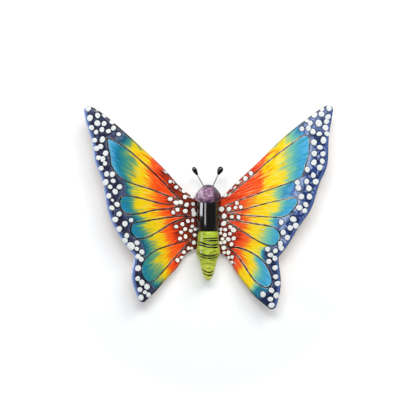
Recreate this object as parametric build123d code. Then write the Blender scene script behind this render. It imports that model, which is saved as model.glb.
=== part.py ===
"""Hand-built ceramic butterfly wall ornament, in millimetres.

Two arched clay slabs are the wings. They meet on the centre line, and a half-round thorax and
abdomen are luted over the seam, with a ball head on top. Both body pieces are hollow behind, and
each pocket is vented through the right slab. Two wire antennae with drop beads are cemented into
sockets in the head. A pierced lug behind the head carries a wire hanger that swings.

Frame: the wall is the plane y = 0 and the face looks along -Y. +Z is up, towards the head, and the
origin is the middle of the flat strip that rests against the wall.
"""

from build123d import *
from math import asin, cos, degrees, radians, sin
import os

# Overall size of the wings
half_span = 150.0
wing_height = 247.0

# Wing slabs: thickness, and their bend as seen from above
slab_thickness = 8.0
root_bend_radius = 30.0
rise_angle = 20.0
arch_radius = 320.0
rim_round = 3.2
tip_round = 5.6
notch_round = 1.5

# Thorax and abdomen: both are half-round in front, on flanks that stand on the slabs
seat_depth = 9.0
thorax_width = 26.8
thorax_rise = 3.8
thorax_edge_round = 1.2
abdomen_width = 29.2
abdomen_length = 59.9
abdomen_seat = 25.7
abdomen_edge_round = 1.5
back_edge_round = 2.0
strip_margin = 1.4

# Hollows in the thorax and abdomen, and the vents that let steam out of them in the kiln
body_wall = 5.0
vent_diameter = 4.0
vent_offset = 5.0

# Head: a lathe-round ball, flat behind, sunk in the top of the thorax
head_width = 32.2
head_height = 24.0
head_sink = 5.5
head_forward = 2.5

# Antennae and their beads
wire_diameter = 1.2
socket_clearance = 0.08
socket_depth = 7.0
antenna_forward_lean = 10.0
left_antenna_lean = 28.9
right_antenna_lean = 24.2
left_wire_length = 15.1
right_wire_length = 15.0
left_bead_width = 5.8
left_bead_length = 10.8
right_bead_width = 7.2
right_bead_length = 10.4
bead_hole_depth = 5.0

# Hanger: a pierced lug on the back of the head, and the wire ring that swings in it
lug_width = 9.0
lug_radius = 3.6
lug_drop = 14.8
lug_edge_round = 0.6
hanger_wall_gap = 1.0
ring_wire_diameter = 1.8
ring_clearance = 0.1
ring_width = 14.0
ring_height = 13.0
ring_corner_radius = 2.0
ring_lean = 16.0

# One overrun for every cut, so that no cut ends flush with a face
overrun = 5.0

# Outlines of the wings. Each pair is a share of half_span outwards and of wing_height upwards. The
# curves run from the top of the seam to the forewing's tip, to the notch, to the hindwing's tip and
# back to the foot of the seam.
left_outline_shares = [
    [
        (0.000, 0.112), (0.098, 0.135), (0.203, 0.179), (0.339, 0.269), (0.468, 0.346),
        (0.629, 0.436), (0.789, 0.521), (0.894, 0.568), (1.003, 0.594),
    ],
    [
        (1.003, 0.594), (0.974, 0.487), (0.934, 0.406), (0.910, 0.313), (0.858, 0.230),
        (0.827, 0.137), (0.793, 0.044), (0.721, -0.044), (0.653, -0.105), (0.600, -0.144),
    ],
    [(0.600, -0.144), (0.603, -0.183), (0.618, -0.237), (0.602, -0.298), (0.541, -0.389)],
    [
        (0.541, -0.389), (0.484, -0.356), (0.412, -0.313), (0.323, -0.251), (0.243, -0.198),
        (0.182, -0.141), (0.130, -0.121), (0.000, -0.130),
    ],
]
right_outline_shares = [
    [
        (0.000, 0.112), (0.103, 0.139), (0.191, 0.191), (0.320, 0.265), (0.457, 0.345),
        (0.593, 0.426), (0.714, 0.487), (0.834, 0.543), (0.923, 0.580), (1.008, 0.597),
    ],
    [
        (1.008, 0.597), (0.990, 0.513), (0.969, 0.435), (0.965, 0.362), (0.949, 0.281),
        (0.899, 0.215), (0.865, 0.149), (0.818, 0.073), (0.738, 0.003), (0.658, -0.078),
        (0.568, -0.151),
    ],
    [(0.568, -0.151), (0.571, -0.191), (0.585, -0.259), (0.575, -0.333), (0.527, -0.424)],
    [
        (0.527, -0.424), (0.450, -0.384), (0.376, -0.346), (0.288, -0.280), (0.211, -0.213),
        (0.163, -0.164), (0.103, -0.137), (0.000, -0.130),
    ],
]

# Half outlines of the body, from the top: share of the half width, and of the length downwards.
thorax_side_shares = [(0.925, 0.00), (0.975, 0.20), (1.00, 0.49), (0.975, 0.78), (0.925, 1.00)]
abdomen_side_shares = [(0.84, 0.00), (0.90, 0.18), (0.97, 0.37), (1.00, 0.44)]
abdomen_tail_shares = [
    (1.00, 0.44), (0.91, 0.50), (0.76, 0.58), (0.65, 0.68), (0.56, 0.77), (0.45, 0.86),
    (0.31, 0.94),
]

# Half outline of the head, from the top: share of the half width, and of the height downwards.
head_crown_shares = [
    (0.29, 0.030), (0.42, 0.082), (0.58, 0.175), (0.72, 0.280), (0.83, 0.380),
    (0.915, 0.475), (0.975, 0.570), (1.00, 0.670),
]
head_chin_shares = [(0.945, 0.77), (0.79, 0.87), (0.47, 0.965)]

# Root of each antenna on the crown: share of the head's half width, and of its height downwards.
antenna_root_shares = (0.37, 0.055)

# Half outline of a bead from its mouth: share of its half width, and of its length.
bead_shares = [(0.42, 0.00), (0.62, 0.17), (0.92, 0.42), (1.00, 0.60), (0.86, 0.83)]

# Places that follow from the sizes above
slab_front = -slab_thickness
seam_top = left_outline_shares[0][0][1] * wing_height
seam_foot = left_outline_shares[-1][-1][1] * wing_height
strip_half_width = abdomen_width / 2 + strip_margin
body_axis_y = slab_front - seat_depth
waist_height = seam_foot + abdomen_seat
thorax_top = seam_top + thorax_rise
thorax_length = thorax_top - waist_height
head_bottom = thorax_top - head_sink
head_top = head_bottom + head_height
head_axis_y = body_axis_y - head_forward
wire_radius = wire_diameter / 2
socket_radius = wire_radius + socket_clearance
ring_wire_radius = ring_wire_diameter / 2
hanger_axis_y = -(hanger_wall_gap + lug_radius)
hanger_axis_z = head_top - lug_drop


def upright_box(back_y):
    """A block that holds everything in front of the upright plane y = back_y."""
    block = Box(2 * half_span, half_span, 2 * wing_height)
    return Pos(0, back_y - half_span / 2, 0) * block


def wing_outline(side, curve_shares):
    """The wing's outline on the wall plane, with its two tips and the notch between them eased."""
    curves = []
    for shares in curve_shares:
        curves.append(Spline([(side * half_span * u, 0, wing_height * v) for u, v in shares]))
    seam = Line(curves[-1] @ 1, curves[0] @ 0)
    face = make_face(curves + [seam])
    for curve, radius in zip(curves, [tip_round, notch_round, tip_round]):
        corner = face.vertices().sort_by_distance(curve @ 1)[0]
        face = fillet(corner, radius)
    return face


def slab_section(side):
    """The bent slab seen from above: flat on the wall, rising at the root, then arching level."""
    reach = half_span + overrun
    rise_run = (root_bend_radius + arch_radius) * sin(radians(rise_angle))
    droop_angle = degrees(asin((reach - strip_half_width - rise_run) / arch_radius))
    arch_turn = side * (rise_angle + droop_angle)
    root_turn = -side * rise_angle
    back_strip = Line((0, 0), (side * strip_half_width, 0))
    back_root = JernArc(back_strip @ 1, (side, 0), root_bend_radius, root_turn)
    back_arch = JernArc(back_root @ 1, back_root % 1, arch_radius, arch_turn)
    front_strip = Line((0, slab_front), (side * strip_half_width, slab_front))
    front_root = JernArc(front_strip @ 1, (side, 0), root_bend_radius - slab_thickness, root_turn)
    front_arch = JernArc(front_root @ 1, front_root % 1, arch_radius + slab_thickness, arch_turn)
    tip = Line(back_arch @ 1, front_arch @ 1)
    seam = Line((0, slab_front), (0, 0))
    return make_face([back_strip, back_root, back_arch, tip, front_arch, front_root, front_strip, seam])


def vent(height):
    """A round steam hole through the right slab, level with a pocket in the body."""
    bore = Cylinder(vent_diameter / 2, slab_thickness + 2 * overrun, rotation=(90, 0, 0))
    return Pos(vent_offset, slab_front / 2, height) * bore


def wing(side, curve_shares):
    """A bent slab cut to the wing's outline, with its rim rounded by a wet sponge."""
    slab = extrude(Pos(0, 0, -wing_height) * slab_section(side), 2 * wing_height, dir=(0, 0, 1))
    outline = wing_outline(side, curve_shares)
    cutter = extrude(outline, half_span, dir=(0, -1, 0)) + extrude(outline, overrun, dir=(0, 1, 0))
    blank = slab & cutter
    rim_edges = blank.edges().filter_by(GeomType.LINE, reverse=True)
    return fillet(rim_edges, rim_round)


def side_points(shares, side, half_width, top, length):
    """Shares of a half outline as points on the left (side -1) or right (side 1) of the body."""
    return [(side * half_width * u, body_axis_y, top - length * v) for u, v in shares]


def thorax_outline():
    """The thorax from the front, barrel-sided, with its lower corners rounded."""
    half_width = thorax_width / 2
    left = side_points(thorax_side_shares, -1, half_width, thorax_top, thorax_length)
    right = side_points(thorax_side_shares, 1, half_width, thorax_top, thorax_length)
    face = make_face([Line(left[0], right[0]), Spline(right), Line(right[-1], left[-1]), Spline(left)])
    lower_corners = face.vertices().sort_by(Axis.Z)[:2]
    return fillet(lower_corners, thorax_edge_round)


def abdomen_outline():
    """The abdomen from the front: it swells to a ridge, then tapers to a round tip."""
    half_width = abdomen_width / 2
    edges = []
    tails = []
    for side in (-1, 1):
        upper = side_points(abdomen_side_shares, side, half_width, waist_height, abdomen_length)
        tails.append(side_points(abdomen_tail_shares, side, half_width, waist_height, abdomen_length))
        edges += [Line((0, body_axis_y, waist_height), upper[0]), Spline(upper)]
    tip = (0, body_axis_y, waist_height - abdomen_length)
    edges.append(Spline(tails[0] + [tip] + tails[1][::-1]))
    face = make_face(edges)
    upper_corners = [v for v in face.vertices().sort_by(Axis.Z)[-3:] if abs(v.X) > body_wall]
    return fillet(upper_corners, abdomen_edge_round)


def half_round(face):
    """A body outline turned half way round its upright middle line, on flanks down to the slabs."""
    mask = Pos(-half_span / 2, body_axis_y, 0) * (Plane.XZ * Rectangle(half_span, 2 * wing_height))
    front = revolve(face & mask, axis=Axis((0, body_axis_y, 0), (0, 0, 1)), revolution_arc=180)
    flanks = extrude(face, seat_depth, dir=(0, 1, 0))
    return front + flanks


def abdomen_blank():
    """The solid abdomen, with its flat back's sides and tip eased."""
    blank = half_round(abdomen_outline())
    back_edges = blank.faces().sort_by(Axis.Y)[-1].edges()
    side_edges = [e for e in back_edges if e.center().Z < waist_height - back_edge_round / 2]
    return fillet(side_edges, back_edge_round)


def hollow(half_width, top, bottom):
    """A straight half-round hollow, open at the back where the slabs close it."""
    outline = Plane.XZ * Rectangle(2 * half_width, top - bottom)
    return half_round(Pos(0, body_axis_y, (top + bottom) / 2) * outline)


def thorax_hollow():
    """The hollow in the thorax, one wall inside its sides, its floor and the bowl under the head."""
    half_width = thorax_side_shares[0][0] * thorax_width / 2 - body_wall
    return hollow(half_width, head_bottom - body_wall, waist_height + body_wall)


def abdomen_hollow():
    """The hollow in the abdomen, one wall inside its sides and above the slabs' lower edge."""
    half_width = abdomen_side_shares[0][0] * abdomen_width / 2 - body_wall
    return hollow(half_width, waist_height - body_wall, seam_foot + body_wall)


def head_ball():
    """The head turned about its own upright axis, cut flat where it backs on to the slab plane."""
    half_width = head_width / 2
    crown = [(0, head_axis_y, head_top)]
    for u, v in head_crown_shares:
        crown.append((half_width * u, head_axis_y, head_top - head_height * v))
    chin = [crown[-1]]
    for u, v in head_chin_shares:
        chin.append((half_width * u, head_axis_y, head_top - head_height * v))
    chin.append((0, head_axis_y, head_bottom))
    crown_curve = Spline(crown, tangents=[(1, 0, 0), (0, 0, -1)])
    chin_curve = Spline(chin, tangents=[(0, 0, -1), (-1, 0, 0)])
    profile = make_face([crown_curve, chin_curve, Line(chin[-1], crown[0])])
    ball = revolve(profile, axis=Axis((0, head_axis_y, 0), (0, 0, 1)))
    return ball & upright_box(slab_front)


def antenna_plane(side, lean):
    """A plane at the antenna's root on the crown, facing along the wire."""
    root_share, drop_share = antenna_root_shares
    root = (side * root_share * head_width / 2, head_axis_y, head_top - drop_share * head_height)
    forward = sin(radians(antenna_forward_lean))
    upward = cos(radians(antenna_forward_lean))
    along = (side * sin(radians(lean)) * upward, -forward, cos(radians(lean)) * upward)
    return Plane(origin=root, x_dir=(0, 1, 0), z_dir=along)


def socket(place):
    """The blind hole in the head for one wire."""
    length = socket_depth + overrun
    bore = Cylinder(socket_radius, length, align=(Align.CENTER, Align.CENTER, Align.MIN))
    return place * Pos(0, 0, -socket_depth) * bore


def antenna_wire(place, free_length):
    """One wire, from the bottom of its socket to the bottom of the hole in its bead."""
    length = socket_depth + free_length + bead_hole_depth
    rod = Cylinder(wire_radius, length, align=(Align.CENTER, Align.CENTER, Align.MIN))
    return place * Pos(0, 0, -socket_depth) * rod


def antenna_bead(place, free_length, width, length):
    """A drop-shaped bead with a blind hole in its narrow end."""
    points = [(width / 2 * u, 0, length * v) for u, v in bead_shares] + [(0, 0, length)]
    curve = Spline(points, tangents=[(1, 0, 1), (-1, 0, 0)])
    mouth = Line((0, 0, 0), points[0])
    drop = revolve(make_face([curve, mouth, Line(points[-1], (0, 0, 0))]), axis=Axis.Z)
    hole = Cylinder(socket_radius, bead_hole_depth, align=(Align.CENTER, Align.CENTER, Align.MIN))
    return place * Pos(0, 0, free_length) * (drop - hole)


def hanger_lug():
    """A D-shaped ear of clay on the flat back of the head, pierced from side to side."""
    reach = hanger_axis_y - slab_front
    outer_half = Pos(0, lug_radius / 2, 0) * Box(lug_width, lug_radius, 2 * lug_radius)
    round_end = Cylinder(lug_radius, lug_width, rotation=(0, 90, 0)) & outer_half
    base = Pos(0, -reach / 2, 0) * Box(lug_width, reach, 2 * lug_radius)
    ear = round_end + base
    rims = [e for e in ear.edges() if abs(abs(e.center().X) - lug_width / 2) < lug_edge_round]
    outer_rims = [e for e in rims if e.center().Y > lug_edge_round - reach]
    ear = fillet(outer_rims, lug_edge_round)
    bore = Cylinder(ring_wire_radius + ring_clearance, lug_width + 2 * overrun, rotation=(0, 90, 0))
    return Pos(0, hanger_axis_y, hanger_axis_z) * (ear - bore)


def hanger_ring():
    """A stirrup of wire: a straight base in the lug and a round top for the nail."""
    half = ring_width / 2
    base = Line((0, 0), (half - ring_corner_radius, 0))
    corner = JernArc(base @ 1, (1, 0), ring_corner_radius, 90)
    leg = Line(corner @ 1, (half, ring_height - half))
    top = JernArc(leg @ 1, (0, 1), half, 180)
    far_leg = Line(top @ 1, (-half, ring_corner_radius))
    far_corner = JernArc(far_leg @ 1, (0, -1), ring_corner_radius, 90)
    close = Line(far_corner @ 1, (0, 0))
    path = Wire([base, corner, leg, top, far_leg, far_corner, close])
    wire_end = Plane(origin=(0, 0, 0), z_dir=(1, 0, 0)) * Circle(ring_wire_radius)
    ring = sweep(wire_end, path=path)
    stand = Rot(90 + ring_lean, 0, 0)
    return Pos(0, hanger_axis_y, hanger_axis_z) * stand * ring


thorax_vent = vent(waist_height + thorax_length / 3)
abdomen_vent = vent(waist_height - abdomen_length / 4)

ball = head_ball()
left_antenna = antenna_plane(-1, left_antenna_lean)
right_antenna = antenna_plane(1, right_antenna_lean)

pieces = {
    "left_wing": wing(-1, left_outline_shares),
    "right_wing": wing(1, right_outline_shares) - thorax_vent - abdomen_vent,
    "thorax": half_round(thorax_outline()) - thorax_hollow() - ball,
    "abdomen": abdomen_blank() - abdomen_hollow(),
    "head": ball - socket(left_antenna) - socket(right_antenna),
    "left_antenna_wire": antenna_wire(left_antenna, left_wire_length),
    "right_antenna_wire": antenna_wire(right_antenna, right_wire_length),
    "left_antenna_bead": antenna_bead(
        left_antenna, left_wire_length, left_bead_width, left_bead_length
    ),
    "right_antenna_bead": antenna_bead(
        right_antenna, right_wire_length, right_bead_width, right_bead_length
    ),
    "hanger_lug": hanger_lug(),
    "hanger_ring": hanger_ring(),
}

os.makedirs("parts", exist_ok=True)
for name, piece in pieces.items():
    export_step(piece, f"parts/{name}.step")
    box = piece.bounding_box()
    print(f"{name}: {len(piece.solids())} solid, volume {piece.volume:.1f} mm3, size {box.size}")
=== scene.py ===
# %% [markdown]
# # A painted ceramic butterfly for the wall
#
# The real ornament is hand-built pottery. Two slabs of clay are cut into wings, bent over a form
# and joined behind a round body. Coloured glazes are brushed over it from the body outwards, and
# thick white glaze is set down in drops. The construction is already packed as a fixed frame, so
# this lesson only gives each piece its finish. It works in metres, with +Z up and the face
# looking along -Y.

import bisect
import math
import random

import bmesh
import bpy
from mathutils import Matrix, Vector, noise
from mathutils.bvhtree import BVHTree
from mathutils.kdtree import KDTree


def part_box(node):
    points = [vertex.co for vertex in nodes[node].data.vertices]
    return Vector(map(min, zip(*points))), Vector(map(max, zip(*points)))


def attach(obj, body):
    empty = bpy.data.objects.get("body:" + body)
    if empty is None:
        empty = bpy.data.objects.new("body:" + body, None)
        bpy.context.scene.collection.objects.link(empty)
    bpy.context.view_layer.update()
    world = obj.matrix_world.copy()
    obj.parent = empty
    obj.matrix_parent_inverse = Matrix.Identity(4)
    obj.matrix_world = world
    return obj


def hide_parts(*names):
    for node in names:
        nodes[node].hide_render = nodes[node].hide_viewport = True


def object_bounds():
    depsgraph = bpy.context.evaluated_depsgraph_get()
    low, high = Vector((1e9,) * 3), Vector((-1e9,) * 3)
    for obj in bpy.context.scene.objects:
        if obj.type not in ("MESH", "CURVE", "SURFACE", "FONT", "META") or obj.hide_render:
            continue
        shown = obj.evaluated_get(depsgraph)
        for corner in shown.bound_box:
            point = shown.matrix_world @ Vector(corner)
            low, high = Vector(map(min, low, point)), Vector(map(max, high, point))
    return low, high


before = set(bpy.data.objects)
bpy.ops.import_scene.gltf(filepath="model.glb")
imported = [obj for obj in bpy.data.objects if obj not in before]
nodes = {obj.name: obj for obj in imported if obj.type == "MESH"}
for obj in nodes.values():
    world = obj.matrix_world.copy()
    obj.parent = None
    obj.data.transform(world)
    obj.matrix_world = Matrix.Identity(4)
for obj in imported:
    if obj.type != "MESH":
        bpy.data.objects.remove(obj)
cad_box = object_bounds()
print("nodes:", sorted(nodes))
print("box of the packed model in mm:", [[round(v * 1000, 1) for v in corner] for corner in cad_box])

# %% [markdown]
# ## Where a place in the photograph lies
#
# The photograph looks straight at the wall, so a column and a row in it give one place on the
# ornament. The seam between the wings and the middle of the wall strip are at known pixels, and the
# span gives the size of a pixel. Every place read from the photograph below goes through this one
# function.

# %% Places
MM = 0.001
PIXEL = 1.2058 * MM
SEAM_COLUMN = 208.2
WALL_ROW = 226.0


def place(column, row):
    """The upright place (x, 0, z) on the ornament that a pixel of the photograph shows."""
    return Vector(((column - SEAM_COLUMN) * PIXEL, 0.0, (WALL_ROW - row) * PIXEL))


def smooth_path(points, step):
    """Places an even step apart on a smooth curve through the points."""
    padded = [points[0] * 2 - points[1]] + list(points) + [points[-1] * 2 - points[-2]]
    dense = []
    for a, b, c, d in zip(padded, padded[1:], padded[2:], padded[3:]):
        parts = max(2, round((c - b).length / step))
        for i in range(parts):
            t = i / parts
            bend = a * (2 * t * t - t * t * t - t) + b * (3 * t * t * t - 5 * t * t + 2)
            bend += c * (4 * t * t - 3 * t * t * t + t) + d * (t * t * t - t * t)
            dense.append(bend / 2)
    dense.append(points[-1].copy())
    return dense


print("one pixel is", round(PIXEL / MM, 3), "mm")

# %% [markdown]
# ## Colours and nodes
#
# A colour is written as the hex value that a painter would pick from the photograph. Blender
# computes with linear light, so one function turns the hex value into linear numbers. Another
# small function adds a node, sets it up and links it. Glaze is laid over glaze wherever something
# is true, such as near the rim. So a third function lays a tint over a colour inside its masks,
# which are numbers from 0 to 1. A Map Range node that eases in and out gives a mask a soft edge.
# Every finish ends in one shader over a shallow relief.

# %% Colour and node helpers
SOFT = {"interpolation_type": "SMOOTHSTEP"}


def linear(hex_colour):
    """An sRGB hex value as a linear RGBA colour, by the sRGB standard's own curve."""
    channels = [int(hex_colour[i:i + 2], 16) / 255 for i in (1, 3, 5)]
    return [c / 12.92 if c <= 0.04045 else ((c + 0.055) / 1.055) ** 2.4 for c in channels] + [1.0]


def add_node(tree, kind, inputs=(), **settings):
    """Adds a node, fills its inputs with numbers, colours or links, and returns its outputs."""
    node = tree.nodes.new("ShaderNode" + kind)
    for name, value in settings.items():
        setattr(node, name, value)
    for key, value in inputs.items() if isinstance(inputs, dict) else enumerate(inputs):
        if isinstance(value, bpy.types.NodeSocket):
            tree.links.new(value, node.inputs[key])
        else:
            node.inputs[key].default_value = value
    return node.outputs


def tinted(tree, colour, tint, strength, *masks, blend="MIX"):
    """The colour with a tint laid over it where all the masks are 1, at most at the strength."""
    share = masks[0]
    for factor in (*masks[1:], strength):
        share = add_node(tree, "Math", (share, factor), operation="MULTIPLY")[0]
    inputs = {0: share, 6: colour, 7: linear(tint)}
    return add_node(tree, "Mix", inputs, data_type="RGBA", blend_type=blend)[2]


def two_tones(tree, pattern, start, end, first, second):
    """One colour that turns softly into another while the pattern goes from start to end."""
    share = add_node(tree, "MapRange", (pattern, start, end), **SOFT)[0]
    tones = {0: share, 6: linear(first), 7: linear(second)}
    return add_node(tree, "Mix", tones, data_type="RGBA")[2]


def new_finish(name):
    """An empty material and its node tree."""
    finish = bpy.data.materials.new(name)
    finish.use_nodes = True
    finish.node_tree.nodes.clear()
    return finish, finish.node_tree


def cover(tree, relief, depth, inputs):
    """Ends a finish: one shader with these inputs, over a relief this deep, goes to the surface."""
    bump = add_node(tree, "Bump", {"Height": relief, "Distance": depth})[0]
    shader = add_node(tree, "BsdfPrincipled", {"Normal": bump, "Coat Normal": bump, **inputs})[0]
    add_node(tree, "OutputMaterial", {"Surface": shader})


print("orange-red glaze in linear light:", [round(v, 3) for v in linear("#FF4A14")])

# %% [markdown]
# ## The wing slabs as an even skin
#
# The wings are slabs about 8 mm thick with a sponged, rounded rim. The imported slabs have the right
# shape, but their triangles are long and few, and paint needs a skin of small even faces to carry
# its places. A voxel remesh of the slab gives that, and a little smoothing and a slow wobble along
# Y turn the ruled slab into one pressed by hand. The wobble dies out at the body, so the seat of
# the thorax and the strip on the wall stay true.

# %% Wing skins
SKIN_SIZE = 0.9 * MM
WOBBLE_HEIGHT = 0.5 * MM
WOBBLE_LENGTH = 38 * MM
SEAT_REACH = 18 * MM
WOBBLE_FADE = 20 * MM
SMOOTH_ROUNDS = 3
SMOOTH_SHARE = 0.5


def blend_in(value, low, high):
    """A smooth step from 0 to 1 between two values."""
    t = min(max((value - low) / (high - low), 0.0), 1.0)
    return t * t * (3 - 2 * t)


def wing_skin(node_name):
    """A copy of a packed wing, remeshed to small quads, smoothed, and uneven as a hand leaves it."""
    skin = bpy.data.objects.new(node_name + "_glazed", nodes[node_name].data.copy())
    bpy.context.scene.collection.objects.link(skin)
    remesh = skin.modifiers.new("even quads", "REMESH")
    remesh.mode = "VOXEL"
    remesh.voxel_size = SKIN_SIZE
    depsgraph = bpy.context.evaluated_depsgraph_get()
    mesh = bpy.data.meshes.new_from_object(skin.evaluated_get(depsgraph))
    skin.modifiers.clear()
    skin.data = mesh
    sculpt = bmesh.new()
    sculpt.from_mesh(mesh)
    axes = {"use_axis_x": True, "use_axis_y": True, "use_axis_z": True}
    for _ in range(SMOOTH_ROUNDS):
        bmesh.ops.smooth_vert(sculpt, verts=sculpt.verts, factor=SMOOTH_SHARE, **axes)
    for v in sculpt.verts:
        freedom = blend_in(abs(v.co.x), SEAT_REACH, SEAT_REACH + WOBBLE_FADE)
        v.co.y += freedom * WOBBLE_HEIGHT * noise.noise(v.co / WOBBLE_LENGTH)
        v.co.y = min(v.co.y, cad_box[1].y)
    sculpt.to_mesh(mesh)
    sculpt.free()
    mesh.materials.clear()
    mesh.shade_smooth()
    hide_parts(node_name)
    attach(skin, "ceramic_body")
    return skin


skins = {}
surfaces = {}
for wing_name in ("left_wing", "right_wing"):
    skins[wing_name] = wing_skin(wing_name)
    faces = [list(p.vertices) for p in skins[wing_name].data.polygons]
    surfaces[wing_name] = BVHTree.FromPolygons([v.co for v in skins[wing_name].data.vertices], faces)
    print(wing_name, "skin has", len(faces), "faces")

# %% [markdown]
# ## How the wing is painted
#
# The painter works outwards from the body. Each wing has four cells with a dark outline, and strips
# between them. In every one the brush runs from red through orange, yellow and green to blue, and
# beyond the line where the cells end the ground is navy. So the paint needs one number per place:
# 0 for the dark red ground, 1 red, 2 orange, 3 yellow, 4 green, 5 blue and 6 navy. It depends on
# how far along its own cell or strip a place lies, as a share of the way from the root to the line
# where the cells end. The shares at which one colour turns into the next are read from the photograph.

# %% Shore and cells of the left wing
LEFT_SHORE = [
    (135, 106), (123, 122.5), (115.5, 133), (109, 138.5), (107.8, 144), (110, 155), (111.5, 165),
    (118, 175.5), (122, 182), (122.5, 190), (120.5, 198), (120, 203), (122, 210), (127, 217),
    (130.5, 224), (131, 231), (135, 238), (140, 246), (142.5, 256), (141.6, 268), (142.5, 275),
    (147, 282), (152, 290), (158, 299),
]
LEFT_BIG_CELL = [
    (186, 205), (176, 196), (160, 179), (140, 160), (124, 146.5), (109, 138.5), (107.8, 143.5),
    (110, 155), (111.5, 165), (118, 175.5), (130, 182.5), (150, 189), (163, 194), (172, 197.5),
    (178, 198.5),
]
LEFT_SECOND_CELL = [
    (173, 204.8), (160, 203.2), (145, 199.2), (130, 195.8), (123, 196.5), (120, 201), (121, 208),
    (125, 212.7), (131, 214.3), (142, 213), (155, 210), (170, 208.5), (179, 206.3), (190, 209),
]
LEFT_THIRD_CELL = [
    (191, 216.5), (180, 216), (165, 217.8), (145, 221), (137, 222.3), (132.5, 224.5),
    (130.8, 228.5), (131.5, 233), (135.5, 237.3), (142, 238.5), (150, 236.2), (160, 230.3),
    (170, 224), (180, 219.5), (188, 216.8),
]
LEFT_HIND_CELL = [
    (190, 240), (180, 242.5), (165, 247), (155, 250.5), (148, 256), (143.5, 262), (141.6, 268),
    (142.2, 274.5), (146.5, 281), (152, 281.3), (158, 277), (168, 265.5), (178, 254), (185, 246),
    (190, 241.5),
]
print("the left wing's shore is read at", len(LEFT_SHORE), "places")

# %% [markdown]
# The right wing is cut and painted by hand as well, so its cells aren't those of the left one
# mirrored. They are read from the photograph in the same way.

# %% Shore and cells of the right wing
RIGHT_SHORE = [
    (288, 104), (298, 118), (305, 128), (308, 136), (309.3, 142), (309, 150), (307, 160),
    (303.5, 171), (300, 181), (297.5, 190), (297.5, 199), (296.5, 204), (292, 211), (284.5, 217),
    (280.5, 224), (280, 233), (279.5, 240), (275, 246), (267, 251), (266, 258), (268.5, 268),
    (271.5, 277), (272, 283), (269, 289), (262, 297), (254, 308),
]
RIGHT_BIG_CELL = [
    (228, 196), (240, 186), (254, 174), (270, 160), (290, 145), (298, 139), (304, 135.5),
    (308, 137), (309.3, 142), (309, 150), (307, 160), (303.5, 171), (301, 177), (296, 180),
    (280, 186), (260, 193), (240, 200), (226, 206),
]
RIGHT_SECOND_CELL = [
    (226, 212.3), (240, 210.3), (255, 206.4), (270, 202.4), (285, 199), (293, 197.5), (297, 199.5),
    (296.8, 204), (293.5, 209), (288, 214.5), (280, 217.3), (268, 216.8), (250, 215.6),
    (240, 214.8), (230, 212.5),
]
RIGHT_THIRD_CELL = [
    (220, 218), (235, 220.3), (250, 223), (263, 225), (271, 226.5), (276.5, 229), (279.8, 234),
    (279.5, 240), (276, 244.3), (271, 245.8), (264, 244), (256, 240), (247, 234.3), (236, 227),
    (228, 222), (222, 218.6),
]
RIGHT_HIND_CELL = [
    (222, 245), (230, 247.7), (238, 247.8), (246, 250.2), (255, 254.7), (262, 260), (267.5, 267),
    (271, 275), (272, 281.5), (270.5, 285.5), (266.5, 287.5), (261, 285.5), (255, 281),
    (250, 274.5), (244, 265), (239, 258), (233, 251.3), (227, 247),
]
print("the right wing's shore is read at", len(RIGHT_SHORE), "places")

# %% [markdown]
# Each cell and each strip has a root, from which its brush strokes fan out, and six shares of the
# way to the shore: where dark red turns red, then orange, yellow, green, blue and navy. A cell has
# no navy of its own, so its last share lies beyond its end. After the shares come the width of the
# cell's outline in mm and a lean: 0 where the colours turn along arcs round the root, and 1 where
# they turn along upright lines, as they do in the two big cells.

# %% Roots and colour turns
LEFT_CELLS = [
    (LEFT_BIG_CELL, (186, 206), (0.05, 0.42, 0.49, 0.655, 0.83, 1.05), 1.8, 1.0),
    (LEFT_SECOND_CELL, (192, 209), (0.18, 0.42, 0.55, 0.78, 0.92, 1.50), 1.9, 0.0),
    (LEFT_THIRD_CELL, (193, 217), (0.06, 0.38, 0.48, 0.73, 0.94, 1.60), 1.9, 0.0),
    (LEFT_HIND_CELL, (191, 240), (0.03, 0.36, 0.50, 0.65, 0.97, 1.35), 1.6, 0.0),
]
LEFT_STRIPS = [
    ((200, 207), (0.44, 0.57, 0.62, 0.81, 0.90, 0.98)),
    ((192, 205), (0.36, 0.47, 0.60, 0.84, 0.94, 0.97)),
    ((194, 213), (0.32, 0.42, 0.53, 0.78, 0.93, 0.96)),
    ((196, 230), (0.35, 0.45, 0.56, 0.72, 0.94, 0.97)),
    ((192, 240), (0.42, 0.54, 0.60, 0.76, 0.94, 0.97)),
]
RIGHT_CELLS = [
    (RIGHT_BIG_CELL, (208, 208), (0.04, 0.51, 0.56, 0.755, 0.865, 1.042), 1.5, 1.0),
    (RIGHT_SECOND_CELL, (224, 213), (0.08, 0.30, 0.42, 0.73, 0.86, 1.15), 1.4, 0.0),
    (RIGHT_THIRD_CELL, (219, 218), (0.12, 0.38, 0.49, 0.70, 0.90, 1.20), 1.7, 0.0),
    (RIGHT_HIND_CELL, (226, 247), (0.12, 0.32, 0.46, 0.65, 0.78, 1.10), 1.8, 0.0),
]
RIGHT_STRIPS = [
    ((216, 204), (0.27, 0.54, 0.62, 0.80, 0.92, 0.98)),
    ((222, 207), (0.14, 0.30, 0.46, 0.68, 0.80, 0.95)),
    ((220, 215), (0.30, 0.40, 0.53, 0.80, 0.90, 0.97)),
    ((220, 236), (0.32, 0.46, 0.60, 0.86, 0.92, 0.97)),
    ((226, 248), (0.20, 0.38, 0.45, 0.74, 0.84, 1.0)),
]
print("cells:", len(LEFT_CELLS) + len(RIGHT_CELLS), "and strips:", len(LEFT_STRIPS + RIGHT_STRIPS))

# %% [markdown]
# ## Writing the paint into the skin
#
# A vertex attribute is a number stored at every corner of the mesh, which a shader can read back. A
# texture would do it too, but it would have to be drawn pixel by pixel, while attributes follow from
# the few places above. First come the bearing of a place from a root, its distance, and how far the
# shore is in that direction. Together they give the share of the way out.

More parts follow.
